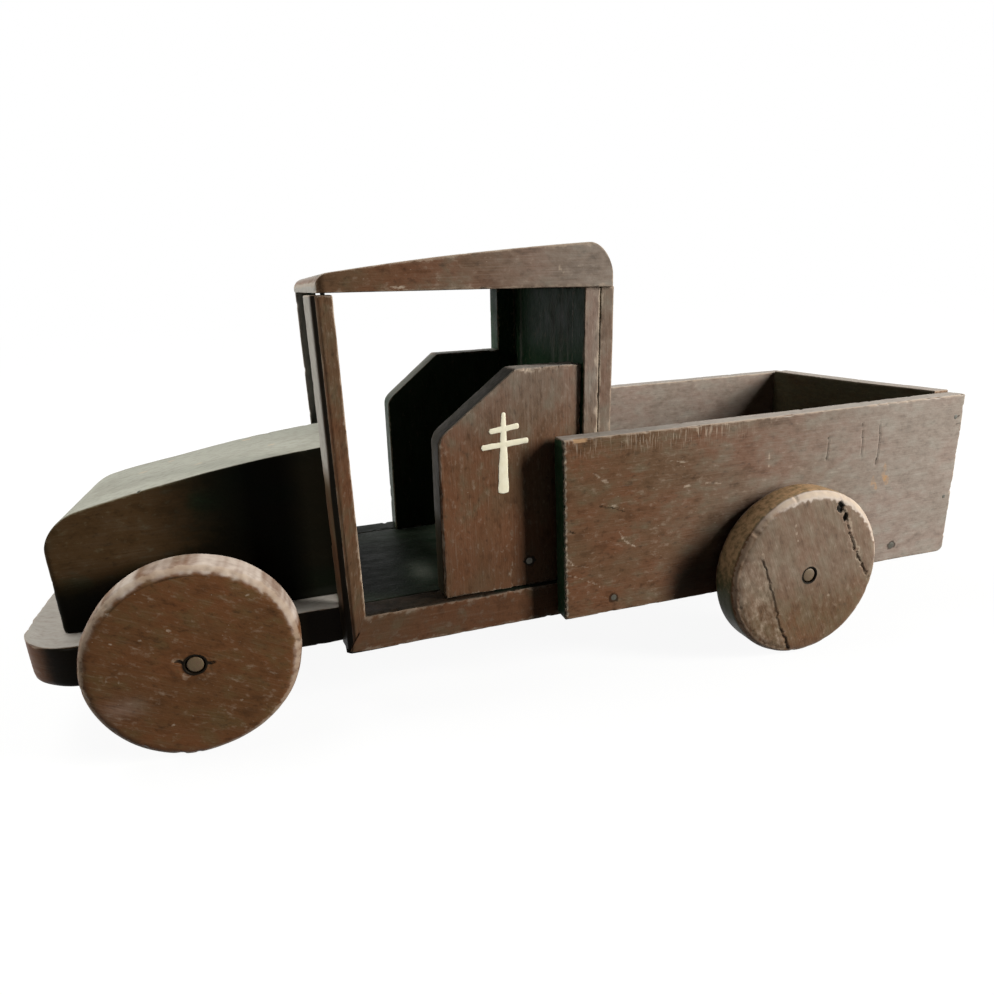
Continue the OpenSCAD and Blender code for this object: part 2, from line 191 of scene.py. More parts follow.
def skin(a, b, c):
    """Points and quads of a block's surface, on a lattice with planes at the places a, b
    and c. Neighbouring faces share their points."""
    shape = (len(a), len(b), len(c))
    i = np.indices(shape)
    outside = np.zeros(shape, bool)
    for axis in range(3):
        outside |= (i[axis] == 0) | (i[axis] == shape[axis] - 1)
    number = np.full(shape, -1)
    number[outside] = np.arange(outside.sum())
    points = np.column_stack([v[i[k][outside]] for k, v in enumerate((a, b, c))])
    quads = []
    for axis in range(3):
        for end in (0, -1):
            n = np.take(number, end, axis=axis)
            q = np.stack([n[:-1, :-1], n[1:, :-1], n[1:, 1:], n[:-1, 1:]], axis=-1)
            q = q.reshape(-1, 4)
            # All six faces wind the same way round
            quads.append(q[:, ::-1] if (end == 0) != (axis == 1) else q)
    return points, np.concatenate(quads)


def ring_quads(n):
    """Quads between the rows of n, a grid of point numbers whose rows are closed rings."""
    n = np.column_stack([n, n[:, 0]])
    return np.stack([n[:-1, :-1], n[:-1, 1:], n[1:, 1:], n[1:, :-1]], axis=-1).reshape(-1, 4)


def outward(points, quads):
    """The quads, turned so that their faces point out of the closed surface."""
    p = points[quads]
    sides = np.cross(p[:, 2] - p[:, 0], p[:, 3] - p[:, 1])
    return quads if (p.mean(axis=1) * sides).sum() > 0 else quads[:, ::-1]


def upward(points, quads):
    """How far the surface looks up at each point: z of the unit mean of its quads' normals."""
    p = points[quads]
    sides = np.cross(p[:, 2] - p[:, 0], p[:, 3] - p[:, 1])
    normal = np.zeros_like(points)
    for corner in range(4):
        np.add.at(normal, quads[:, corner], sides)
    return normal[:, 2] / np.maximum(np.linalg.norm(normal, axis=1), 1e-9)


# What the paint knows at each point: rubbed to the undercoat (with some painted highlight),
# bare wood, grime and painted shade, dust and painted sheen, redder (below 0: greener), saw marks
LAYERS = ("mark", "bare", "dark", "grey", "red", "saw")


def clean(count):
    """Paint layers of 0 for that many points."""
    return SimpleNamespace(**{key: np.zeros(count) for key in LAYERS})


def piece(name, points, faces, layers, material, body, nodes):
    """A mesh piece that rides on a body of the truck and stands for CAD nodes. layers
    holds the numbers at its points that the materials read."""
    mesh = bpy.data.meshes.new(name)
    mesh.from_pydata((points * MM).tolist(), [], faces)
    mesh.polygons.foreach_set("use_smooth", np.ones(len(mesh.polygons), bool))
    for key, values in layers.items():
        flat = np.asarray(values, np.float32)
        kind, field = ("FLOAT_VECTOR", "vector") if flat.ndim == 2 else ("FLOAT", "value")
        mesh.attributes.new(key, kind, "POINT").data.foreach_set(field, flat.ravel())
    mesh.materials.append(material)
    obj = bpy.data.objects.new(name, mesh)
    bpy.context.scene.collection.objects.link(obj)
    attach(obj, body)
    if nodes:
        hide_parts(*nodes)
    return obj


def board(name, node, size, shape, slot, step, seed, radius=0.8, wave=0.2, dust_and_sheen=0.5,
          detail=None, a=None, along=None):
    """A worn board. Its local sizes run along the grain, across it and through it, and
    shape() carries local points to the truck's frame. Each point moves onto a ball of the
    local wear radius about the nearest point of the block shrunk by that radius, then
    inwards by the unevenness, the chips and what detail() returns. detail() also adds to
    the paint's layers and may raise edge, the distance to the nearest edge, where no edge
    is rubbed. radius is a number or gives one for each local point; a holds the lattice
    places along the grain. The paint follows the local places, or the truck's axes in the
    order along."""
    size = np.array(size, float)
    rows = [places(length, s) for length, s in zip(size, step)]
    if a is not None:
        rows[0] = a
    p, quads = skin(*rows)
    edge = np.sort(np.minimum(p, size - p), axis=1)[:, 1]
    r = radius(p) if callable(radius) else np.full(len(p), radius)
    r = r * (0.55 + 0.9 * noise(p, (11, 6, 6), seed))
    r = np.minimum(r * (1 + 0.5 * smooth(noise(p, (4, 3, 3), seed + 1), 0.6, 1)),
                   size.min() * 0.45)[:, None]
    core = np.clip(p, r, size - r)
    away = (p - core) / np.maximum(np.linalg.norm(p - core, axis=1), 1e-9)[:, None]
    p = core + r * away
    paint = clean(len(p))
    depth = wave * noise(p, (42, 9, 9), seed + 2)
    depth += 0.75 * smooth(noise(p, (3.2, 2, 2), seed + 3), 0.62, 1) * np.exp(-edge / 1.1)
    if detail:
        depth += detail(shape(p), away, edge, paint)
    world = shape(p - away * depth[:, None])
    quads = outward(world, quads)
    # Dust on the faces that look up, which also stands for painted sheen on the tops
    paint.grey += dust_and_sheen * smooth(upward(world, quads), 0.45, 0.95)
    paint.edge = np.minimum(edge, 12)
    paint.wood = (p if along is None else world[:, along]) + seed * np.array([53.0, 31.0, 17.0])
    return piece(name, world, quads.tolist(), vars(paint), PAINT[slot], "truck", [node])


def turned(profile, count, closed):
    """Points and faces of a profile (radius, place along the axis) turned about the axis,
    as (radius * cos, radius * sin, place). An open profile starts and ends on the axis in
    one shared point each; a closed one comes back to its own start."""
    profile = np.asarray(profile, float)
    ring = profile if closed else profile[1:-1]
    t = np.arange(count) * 2 * np.pi / count
    r, s = ring[:, :1], ring[:, 1:]
    points = np.stack([r * np.cos(t), r * np.sin(t), s + 0 * t], axis=-1).reshape(-1, 3)
    n = np.arange(len(ring) * count).reshape(len(ring), count)
    if closed:
        return points, ring_quads(np.vstack([n, n[:1]])), np.zeros((0, 3), int)
    first, last = len(points), len(points) + 1
    ends = [[0, 0, profile[0, 1]], [0, 0, profile[-1, 1]]]
    caps = [np.column_stack([np.roll(n[0], -1), n[0], np.full(count, first)]),
            np.column_stack([n[-1], np.roll(n[-1], -1), np.full(count, last)])]
    return np.vstack([points, ends]), ring_quads(n), np.concatenate(caps)


# ---------------- materials


def linear(colour):
    """An sRGB hex colour as linear red, green, blue and 1."""
    parts = [int(colour[i:i + 2], 16) / 255 for i in (1, 3, 5)]
    return [c / 12.92 if c < 0.04045 else ((c + 0.055) / 1.055) ** 2.4 for c in parts] + [1]


def add(tree, kind, inputs, **settings):
    """A shader node of that kind in the tree, with its settings, and with a value or a
    link for each named or numbered input."""
    node = tree.nodes.new("ShaderNode" + kind)
    for key, value in settings.items():
        setattr(node, key, value)
    for key, value in inputs.items():
        if isinstance(value, bpy.types.NodeSocket):
            tree.links.new(value, node.inputs[key])
        else:
            node.inputs[key].default_value = value
    return node


def new_material(name):
    """A material with an empty node tree."""
    material = bpy.data.materials.new(name)
    material.use_nodes = True
    material.node_tree.nodes.clear()
    return material, material.node_tree


def ramp(tree, x, low, high, start, stop, way="LINEAR"):
    """From start where x is low to stop where it is high, and no farther."""
    return add(tree, "MapRange", {"Value": x, "From Min": low, "From Max": high, "To Min": start,
                                  "To Max": stop}, interpolation_type=way).outputs[0]


def blend(tree, share, below, above):
    """That share of one colour over another."""
    return add(tree, "Mix", {0: share, 6: below, 7: above}, data_type="RGBA").outputs[2]


def relief(tree, height, distance):
    """Normals of a surface that is that far out where height is 1."""
    return add(tree, "Bump", {"Height": height, "Distance": distance}).outputs[0]


def shaded(material, inputs):
    """The material, with a principled surface that has those inputs."""
    shader = add(material.node_tree, "BsdfPrincipled", inputs)
    add(material.node_tree, "OutputMaterial", {"Surface": shader.outputs[0]})
    return material


def old_paint(name, main, warm, olive, worn, dust_and_sheen="#aea9a4", gloss=0.03, edge_wear=1.0,
              lines=0.13):
    """Old brown household paint on wood, brushed along the grain. To the eye it gives a
    mottled brown between reddish and olive in patches of 5 to 30 mm, small dark and pale
    scuffs 2 to 4 mm long, fine streaks along the grain, edges rubbed down to a pale
    undercoat, bare ochre wood in the chips, dust and painted sheen, grime and painted
    shade, and a low gloss."""
    material, tree = new_material(name)

    def layer(key, output="Fac"):
        return add(tree, "Attribute", {}, attribute_name=key).outputs[output]

    def texture(size, detail, rough):
        scaled = add(tree, "Mapping", {"Vector": wood, "Scale": tuple(1 / s for s in size)})
        return add(tree, "TexNoise", {"Vector": scaled.outputs[0], "Scale": 1.0,
                                      "Detail": detail, "Roughness": rough}).outputs["Fac"]

    def mask(x, low, high, top=1.0):
        return ramp(tree, x, low, high, 0.0, top, "SMOOTHSTEP")

    def plus(x, y, share):
        return add(tree, "Math", {0: y, 1: share, 2: x}, operation="MULTIPLY_ADD").outputs[0]

    def times(x, y):
        return add(tree, "Math", {0: x, 1: y}, operation="MULTIPLY").outputs[0]

    def lay(cover, share):
        nonlocal colour
        colour = blend(tree, share, colour, linear(cover))

    wood = layer("wood", "Vector")
    on = SimpleNamespace(**{key: layer(key) for key in LAYERS + ("edge",)})
    broad = texture((34, 20, 20), 3.0, 0.5)
    patch = texture((12, 7, 7), 4.0, 0.6)
    streak = texture((15, 0.55, 0.55), 3.0, 0.5)
    mottle = texture((3.9, 2.3, 2.3), 4.0, 0.62)
    fleck = texture((1.6, 0.9, 0.9), 2.0, 0.5)
    comb = texture((0.8, 7, 7), 2.0, 0.5)

    deep, pale, green, ochre, grime_and_shade_colour = "#17110b", "#b9a998", "#243f2a", "#a28263", "#0b0b07"
    colour = linear(main)
    lay(warm, mask(plus(broad, on.red, 0.25), 0.4, 0.64))
    lay(olive, mask(plus(patch, on.red, -0.2), 0.46, 0.7, 0.55))
    lay(green, mask(on.red, -0.1, -1.0))
    lay(deep, mask(patch, 0.46, 0.3, 0.28))
    lay(deep, mask(mottle, 0.47, 0.24, 0.45))
    lay(deep, mask(streak, 0.45, 0.25, lines))
    lay(worn, mask(mottle, 0.54, 0.8, 0.42))
    lay(worn, mask(streak, 0.56, 0.8, lines))
    lay(pale, mask(fleck, 0.73, 0.81, 0.5))
    # Dust, rubbed and greyed paint, and painted sheen
    cover = plus(plus(on.grey, patch, 0.25), streak, 0.13)
    grey = times(mask(cover, 0.15, 1.0), ramp(tree, mottle, 0.15, 0.55, 0.6, 1.0))
    lay(dust_and_sheen, grey)
    saw = times(on.saw, mask(comb, 0.5, 0.66))
    lay(pale, times(saw, 0.6))
    # Edges rubbed through, in ragged lines about 1 mm wide
    reach = ramp(tree, mottle, 0.3, 0.75, 0.0, 1.9 * edge_wear)
    rubbed = mask(plus(reach, on.edge, -1.0), -0.3, 0.6, 0.55)
    lay(worn, rubbed)
    mark = mask(plus(on.mark, mottle, 0.7), 0.5, 1.05, 0.85)
    lay(pale, mark)
    lay(ochre, mask(plus(on.bare, mottle, 0.6), 0.55, 0.95))
    # Grime, and painted shade where the layer is dark
    lay(grime_and_shade_colour, mask(plus(on.dark, mottle, 0.3), 0.35, 0.95, 0.96))
    # Relief of the brush strokes, the scuffs and the grain, about 0.1 mm deep
    height = plus(times(streak, 3 * lines), fleck, 0.5)
    for part, share in ((mottle, 0.9), (rubbed, -0.3), (mark, -0.4), (saw, -1.0)):
        height = plus(height, part, share)
    dull = ramp(tree, plus(patch, grey, 0.6), 0.3, 1.0, 0.34, 0.65)
    return shaded(material, {"Base Color": colour, "Roughness": dull,
                             "Normal": relief(tree, height, 0.00012),
                             "Specular IOR Level": gloss})


def plain_paint(name, main, second, rough):
    """Thick cream oil paint laid on with a small brush: nearly even, faintly yellowed in
    patches a few mm wide, with a soft gloss."""
    material, tree = new_material(name)
    place = add(tree, "TexCoord", {}).outputs["Object"]
    patch = add(tree, "TexNoise", {"Vector": place, "Scale": 400.0, "Detail": 3.0}).outputs["Fac"]
    colour = blend(tree, patch, linear(main), linear(second))
    return shaded(material, {"Base Color": colour, "Roughness": rough,
                             "Normal": relief(tree, patch, 0.0001), "Specular IOR Level": 0.4})


def old_steel(name, bright, cover, share, rough):
    """Old iron nail that was painted over: dull grey metal where it is rubbed bright, brown
    paint and rust in patches about 1 mm wide elsewhere."""
    material, tree = new_material(name)
    place = add(tree, "TexCoord", {}).outputs["Object"]
    patch = add(tree, "TexNoise", {"Vector": place, "Scale": 900.0, "Detail": 4.0,
                                   "Roughness": 0.6}).outputs["Fac"]
    covered = ramp(tree, patch, share + 0.08, share - 0.08, 0.0, 1.0)
    return shaded(material, {"Base Color": blend(tree, covered, linear(bright), linear(cover)),
                             "Metallic": ramp(tree, covered, 0.0, 1.0, 0.2, 0.0),
                             "Roughness": rough, "Normal": relief(tree, patch, 0.0001)})


PAINT = {
    "body_paint": old_paint("old_brown_paint", "#624a37", "#684733", "#5b523d", "#a18f7f"),
    "dark_paint": old_paint("old_dark_paint", "#3a2f1d", "#463421", "#2c2e1b", "#6a614e",
                            dust_and_sheen="#a6a59c", gloss=0.015, lines=0.06),
    "wheel_paint": old_paint("old_wheel_paint", "#5f4028", "#68432a", "#574729", "#a38f7d",
                             dust_and_sheen="#baada4", gloss=0.05, edge_wear=0.8, lines=0.08),
}
cream_paint = plain_paint("cream_oil_paint", "#f3eedb", "#e4dcc0", 0.45)
pin_steel = old_steel("old_steel", "#57482f", "#523e29", 0.52, 0.6)
nail_steel = old_steel("painted_nail_steel", "#44433a", "#332f24", 0.55, 0.6)


# ---------------- boards


def box_side(side):
    """Long side board of the box; its lower edge rises a little towards the front and its
    lower rear corner is round. The saw left teeth along the left one's front edge."""
    length, height, thick = -X_TAIL, Z_BOX - Z_UNDER, Y_BOX - Y_SIDE
    corner_r = 4

    def shape(p):
        low = Z_UNDER + 2 * p[:, 0] / length + dip(corner_r - p[:, 0], corner_r)
        high = Z_BOX + (0.6 if side > 0 else 0.2) * smooth(p[:, 0], 150, 0)
        z = low + (high - low) * p[:, 1] / height
        return np.column_stack([X_TAIL + p[:, 0], side * (Y_SIDE + p[:, 2]), z])

    def detail(w, away, edge, paint):
        x, z, flat = w[:, 0], w[:, 2], w[:, [0, 2]]
        outer, inner = facing(away, 2), facing(-away, 2)
        # Painted shadow of the rear wheel on the outer face, in front of the wheel
        painted_wheel_shadow = np.exp(-((x + 66) / 20) ** 2 - ((z - 43) / 19) ** 2)
        paint.dark += 0.6 * outer * painted_wheel_shadow
        paint.red += 0.2 * outer * smooth(x, -90, -20) * smooth(z, 100, 60)
        # Painted sheen: the outer face greyer towards the rear; the inner faces greyer as well
        paint.grey += 0.36 * outer * smooth(x, 0, -200) + 0.32 * inner
        if side < 0:
            # Painted shadow of the tailgate: the inner face dark in a slanting band at its rear
            paint.dark += 0.45 * inner * smooth(x - 2 * (Z_BOX - z), -190, -222)
            return 0.0
        paint.saw += outer * smooth(z, 105, 112) * smooth(x, -120, -60) * smooth(x, 4, -4) \
            * noise(w, (9, 1, 5), 71)
        # The saw's teeth, and the front end painted dark and green as shade
        tooth = np.abs(((z + 1.6 * noise(w, (1, 1, 4), 72)) / 3.6) % 1 * 2 - 1)
        near = smooth(x, -2.6, -0.6)
        end = smooth(away[:, 0], 0.45, 0.8)
        paint.mark += 0.85 * outer * near * (0.3 + tooth)
        paint.dark += 0.5 * end * smooth(z, 115, 112)
        paint.red -= end
        cut = 1.3 * tooth * near * np.exp(-edge / 0.8) * smooth(away[:, 2], 0.1, 0.5)
        # Three upright scratches with a pale line beside each
        for line in ([(-139.4, 102.5), (-139.9, 97), (-139.6, 91.5)],
                     [(-159.4, 107.5), (-160.8, 98), (-161.1, 88.5)],
                     [(-170.2, 107.8), (-171.4, 97), (-171, 85)]):
            scratch = stroke(flat, line, 0.75, 0.9) * outer
            paint.dark += 0.6 * scratch
            paint.mark += 0.25 * outer * stroke(flat, [(a - 1.4, b) for a, b in line], 1.3, 1.2)
            cut += 0.3 * scratch
        paint.bare += 0.4 * outer * spots(flat, (
            (-176.8, 81, 1.68, 4.68), (-179.2, 75.5, 1.82, 3.12), (-170.2, 77.4, 1.68, 2.86),
            (-172.7, 73.3, 1.4, 2.08)), 0.7)
        paint.mark += 0.4 * outer * strokes(flat, (
            (-71.9, 88.3, -79.5, 87.3, 1.0), (-60, 88, -66, 88.2, 0.7),
            (-2.6, 53.7, -9.9, 50.4, -17.4, 46.1, 0.8), (-1.7, 61.6, -5.1, 58.1, -12.4, 55.9, 0.7),
            (-17.4, 85.6, -23.3, 84.2, -29.7, 81.6, 0.7), (-14.6, 99.4, -20.8, 95.2, 1.5),
            (-105.9, 98.5, -105.7, 92, 1.2), (-36, 62, -30, 66, -27, 71, 0.8),
            (-52, 101, -61, 99.4, 0.9)), 1.3)
        paint.dark += 0.6 * outer * strokes(flat, (
            (-17.4, 84.5, -23.3, 82.8, -29.7, 80.3, 0.8), (-3, 74.6, -5.6, 73.4, 0.8),
            (-222.5, 105.5, -220, 104.2, 0.8), (-224, 101.5, -221, 101, 0.8)), 1.0)
        # Painted shade round the nails: a dark ring where their sunk holes would lie in shade
        paint.dark += 0.6 * outer * spots(
            flat, [(nail_x, BOX_NAILS_Z, 2.9, 2.7) for nail_x in BOX_NAILS_X], 0.6)
        chip = spot(w[:, [0, 1]], (-8.5, 70.6), (4, 1.5)) \
            * np.maximum(facing(away, 1), outer * (z > 114))
        paint.bare += 0.6 * chip
        return cut + 0.4 * chip

    board("box_side_board_" + HAND[side], "box_side_" + HAND[side], (length, height, thick),
          shape, "body_paint", step=(0.7, 0.7, 1.2) if side > 0 else (1.1, 1.1, 1.2),
          radius=0.9, seed=11 if side > 0 else 12, detail=detail)


def tailgate():
    """Board between the rear ends of the box sides, a little taller on the left."""
    height = Z_BOX - Z_UNDER + 1

    def shape(p):
        y = p[:, 0] - Y_SIDE
        z = Z_UNDER + p[:, 1] * (1 + 0.008 * smooth(y, 0, Y_SIDE))
        return np.column_stack([X_TAIL + p[:, 2], y, z])

    def detail(w, away, edge, paint):
        inside = facing(away, 2)
        # Painted shade: the inner face, which looks forward, darker and greener
        paint.red -= 0.45 * inside
        paint.dark += 0.62 * inside
        return 0.0

    board("tailgate_board", "tailgate", (2 * Y_SIDE, height, Y_BOX - Y_SIDE), shape,
          "body_paint", step=(1.3, 1.3, 1.3), seed=13, detail=detail)


def cab_back():
    """Board behind the cab, leaning back with the rear posts; dark green inside."""
    height = Z_POST - Z_FLOOR

    def shape(p):
        y = p[:, 1] - Y_SIDE
        z = Z_FLOOR + p[:, 0] * (under_roof(-25, y) + ROOF_BITE - Z_FLOOR) / height
        return np.column_stack([raked(X_BACK, z) + p[:, 2], y, z])

    def detail(w, away, edge, paint):
        inside, ends = facing(away, 2), facing(np.abs(away), 1)
        paint.red -= 1.2 * inside
        paint.grey += 0.25 * inside * smooth(noise(w, (9, 3.5, 40), 84), 0.5, 0.9) + 0.2 * ends
        seam = smooth(w[:, 0] - raked(X_STEP, w[:, 2]), -2.4, -0.3)
        paint.mark += 0.75 * ends * seam * noise(w, (2, 2, 4), 86)
        return 0.0

    board("cab_back_board", "cab_back", (height, 2 * Y_SIDE, X_STEP - X_BACK), shape,
          "body_paint", step=(1.2, 1.2, 0.9), radius=0.7, seed=14, detail=detail)


def cab_frame(side):
    """U-shaped side of the cab: front post, sill and rear post. Places along the frame run
    from the front post's top, round the sill, to the rear post's top; each stretch lies
    between an outer and an inner line that meet on the corners' diagonals. The outer front
    edge is bevelled, the front face is turned a few degrees and the tops follow the roof's
    underside; over the left front post stays a gap."""
    front_l, wide, thick = Z_POST - Z_UNDER, 10, Y_SIDE - Y_NARROW
    bevel, turn = 3.4, 0.17
    stations = np.cumsum([0, front_l, X_CAB - X_STEP, Z_FLOOR - Z_UNDER, Z_POST - Z_FLOOR])
    post = X_POST[side]
    outer = np.array([(97.5, Z_POST), (X_CAB, Z_UNDER), (X_STEP, Z_UNDER), (X_STEP, Z_FLOOR),
                      (raked(X_STEP, Z_POST), Z_POST)])
    inner = np.array([(87.0, Z_POST), (87.9, Z_FLOOR), (post, Z_FLOOR),
                      (raked(post, 60), 60), (raked(post, Z_POST), Z_POST)])

    def shape(p):
        share = p[:, 1] / wide
        out, inn = ([np.interp(p[:, 0], stations, line[:, k]) for k in (0, 1)]
                    for line in (outer, inner))
        x = out[0] + (inn[0] - out[0]) * share
        z = out[1] + (inn[1] - out[1]) * share
        y = Y_NARROW + p[:, 2]
        front = X_CAB - (z - Z_UNDER) / front_l
        cut = np.maximum(0, bevel - (front - x) - (Y_SIDE - y)) / 2
        in_front = p[:, 0] < front_l
        back = turn * p[:, 2] * (1 - share) * in_front
        bite = np.where(in_front, -0.6, ROOF_BITE) if side > 0 else ROOF_BITE
        top = under_roof(x, side * y) + bite - Z_POST
        z = z + top * np.clip((z - Z_FLOOR) / (Z_POST - Z_FLOOR), 0, 1)
        return np.column_stack([x - cut - back, side * (y - cut), z])

    def detail(w, away, edge, paint):
        x, y, z = w[:, 0], np.abs(w[:, 1]), w[:, 2]
        outside = away[:, 2]
        face = facing(-away, 1) * (x > 80)
        flat_part = smooth(y, 58.9, 57.9)
        # Painted highlight: the front post's flat front face pale towards its top
        bright = face * flat_part * smooth(z, 100, 125)
        paint.grey += 1.1 * bright
        paint.mark += 0.15 * bright
        if side < 0:
            # Painted highlight: the right front post's inner face pale near its top
            paint.grey += 0.8 * facing(-away, 2) * smooth(x, 91, 97) * smooth(z, 95, 130)
        # Painted shade: the front face's bevel dark, and the front face darker below
        paint.dark += 0.75 * face * (1 - flat_part) + 0.5 * face * smooth(z, 118, 100)
        seam = smooth(x - raked(X_STEP, z) + 2.4 * noise(w, (2, 9, 3), 73), 4.2, 1.4)
        paint.mark += 0.75 * seam * (z > 50) * smooth(outside, 0.2, 0.7) * noise(w, (2, 2, 4), 86)
        corner = smooth(away[:, 1], 0.15, 0.5) * smooth(outside, 0.15, 0.5) * (x > 80)
        paint.mark += 0.8 * corner * smooth(z, 48, 60) * noise(w, (2, 2, 7), 85)
        paint.red -= 1.1 * smooth(outside, 0.6, 0.2) * (1 if side < 0 else x < 30)
        paint.grey += 0.27 * facing(away, 2) * (x < -5) * smooth(z, 90, 140)
        # Painted shade: darker at the bottom, and on the faces round the door opening below 60 mm
        paint.dark += 0.4 * smooth(z, 54, 44) + 0.4 * facing(away, 1) * (z < 60)
        paint.red += 0.4 * smooth(z, 56, 46) * smooth(outside, 0.6, 0.9)
        return 0.0

    board("cab_frame_" + HAND[side], "cab_side_" + HAND[side], (stations[-1], wide, thick),
          shape, "body_paint", step=(1.0, 0.9, 0.9), radius=0.6, wave=0.15, dust_and_sheen=0.1,
          seed=15 if side > 0 else 16, detail=detail)


def roof():
    """Roof board: flat below, crowned on top, thin with a small round at the front, thick
    at the back with a round that is taller than it is deep. Its front slants, its front
    corners are round and it lies a little tilted."""
    length, width, thick = X_ROOF - X_ROOF_BACK, 2 * Y_ROOF, 14
    front_z, rise, crown, slant = 185.4, 9.6, 4.8, 4.2
    front_r, corner_r, deep, tall = 5, 4, 10.9, 15.5
    back = X_ROOF_BACK - 0.4
    fall_x = back + deep

    def shape(p):
        y = Y_ROOF - p[:, 1]
        front = X_ROOF - slant * (y + Y_ROOF) / width
        x = front + (back - front) * p[:, 0] / length
        t = np.clip((X_ROOF - x) / (X_ROOF - fall_x), 0, 1)
        top = front_z + rise * t + crown * t * (1 - t)
        top = top - tall * dip((fall_x - x) / deep, 1) - dip(x - front + front_r, front_r)
        y = y * (1 - dip(x - front + corner_r, corner_r) / Y_ROOF)
        low = Z_POST + ROOF_RISE * (x - X_ROOF_BACK) / length
        z = low + (top - low) * p[:, 2] / thick
        return np.column_stack([x, y + (z - Z_POST) * ROOF_TILT / width,
                                z + ROOF_TILT * (Y_ROOF - y) / width])

    def detail(w, away, edge, paint):
        x, z, side = w[:, 0], w[:, 2], facing(np.abs(away), 1)
        front = smooth(away[:, 0], -0.2, -0.6)
        edge += 6 * (1 - side) * smooth(x, -19, -25) * smooth(z, 179, 182)
        # Painted sheen: the sides greyer towards the back. Painted light: the front face pale and
        # greener
        paint.grey += 0.3 * side * smooth(x, 85, -25) + 0.8 * front
        paint.red -= 0.5 * front
        paint.mark += 0.22 * side * smooth(noise(w, (5, 1, 2), 74), 0.6, 0.8) * smooth(edge, 4, 1)
        paint.mark += 0.45 * side * strokes(w[:, [0, 2]], (
            (-3.6, 185.2, -4.8, 184.3, 1.6), (74, 188.4, 66, 189.2, 1.1),
            (66, 180.6, 61, 180.2, 0.9)), 1.2)
        return 0.0

    a = np.concatenate([front_r * (1 - np.cos(np.linspace(0, np.pi / 2, 16))),
                        np.arange(front_r + 0.8, length - deep - 0.5, 1.0),
                        round_end(length, deep, 30)])
    board("roof_board", "roof", (length, width, thick), shape, "body_paint", step=(1, 1.3, 1.0),
          seed=17, detail=detail, a=a, along=(0, 1, 2))


def door(side, length, slant_l, slant_h):
    """Door board with a slanted upper front corner; the grain stands upright. Its front and
    its slanted edge are worn rounder than the others."""
    back_x = X_POST[side] + 0.3
    z_slant = Z_DOOR - slant_h
    soft = 3

    def shape(p):
        z = Z_FLOOR + p[:, 0]
        back, front = raked(back_x, z), raked(back_x + length, z)
        rise = z - z_slant
        rise = np.where(np.abs(rise) < soft, (rise + soft) ** 2 / (4 * soft), np.maximum(rise, 0))
        front = front - slant_l * rise / slant_h
        x = back + (front - back) * p[:, 1] / length
        return np.column_stack([x, side * (Y_SEAT + p[:, 2]), z])

    def detail(w, away, edge, paint):
        outside = away[:, 2]
        if side < 0:
            # Painted shade: the inner face dark, and greener
            paint.dark += 0.5 * smooth(outside, 0.2, -0.5)
            paint.red -= 0.8 * smooth(outside, 0.6, 0.2)
            return 0.0
        z, flat, outer = w[:, 2], w[:, [0, 2]], facing(away, 2)
        paint.mark += 0.3 * outer * strokes(flat, (
            (43.2, 110.5, 43, 109.5, 1.3), (13.2, 87.5, 12.6, 81, 0.9),
            (20.6, 60, 21.4, 53, 20.8, 47, 0.9), (19.8, 71, 26.2, 64, 0.6),
            (44, 63, 50, 58.6, 0.8), (-8, 144.6, 14, 144.8, 1.0), (-11, 125, -10.4, 118, 0.8)), 1.2)
        front = smooth(away[:, 1], 0.4, 0.8) * smooth(outside, 0.6, 0.2)
        # Painted shade round the nail: a dark ring where its sunk hole would be shaded
        paint.dark += 0.5 * outer * spot(flat, DOOR_NAIL, (2.8, 2.6), 0.6)
        # Painted shade: the front edge dark; the outer face also darker towards the bottom
        paint.dark += 0.62 * front + 0.34 * outer * smooth(z, 100, 60)
        paint.red += 0.4 * outer * smooth(z, 115, 60) - 0.4 * front
        paint.grey += 0.2 * outer * smooth(z, 95, 146)
        corner = smooth(away[:, 1], 0.15, 0.5) * smooth(outside, 0.15, 0.5)
        paint.mark += 0.7 * corner * noise(w, (2, 2, 7), 85)
        return 0.0

    def worn(p):
        return 0.45 + (1.0 if side > 0 else 0.3) * smooth(p[:, 1], 0.4 * length, 0.85 * length)

    board("door_board_" + HAND[side], "door_" + HAND[side],
          (Z_DOOR - Z_FLOOR, length, Y_DOOR - Y_SEAT), shape, "body_paint",
          step=(0.8, 0.7, 1.0) if side > 0 else (1.2, 1.2, 1.2), radius=worn,
          seed=18 if side > 0 else 19, detail=detail, along=(2, 0, 1))


def seat():
    """Seat block between the doors; its back leans with the cab's."""
    depth, height = X_SEAT - X_STEP, 35

    def shape(p):
        z = Z_FLOOR + p[:, 2]
        x = X_SEAT + (raked(X_STEP, z) - X_SEAT) * p[:, 1] / depth
        return np.column_stack([x, p[:, 0] - Y_SEAT, z])

    board("seat_block", "seat", (2 * Y_SEAT, depth, height), shape, "dark_paint",
          step=(1.6, 1.6, 1.6), seed=20, dust_and_sheen=0.3)


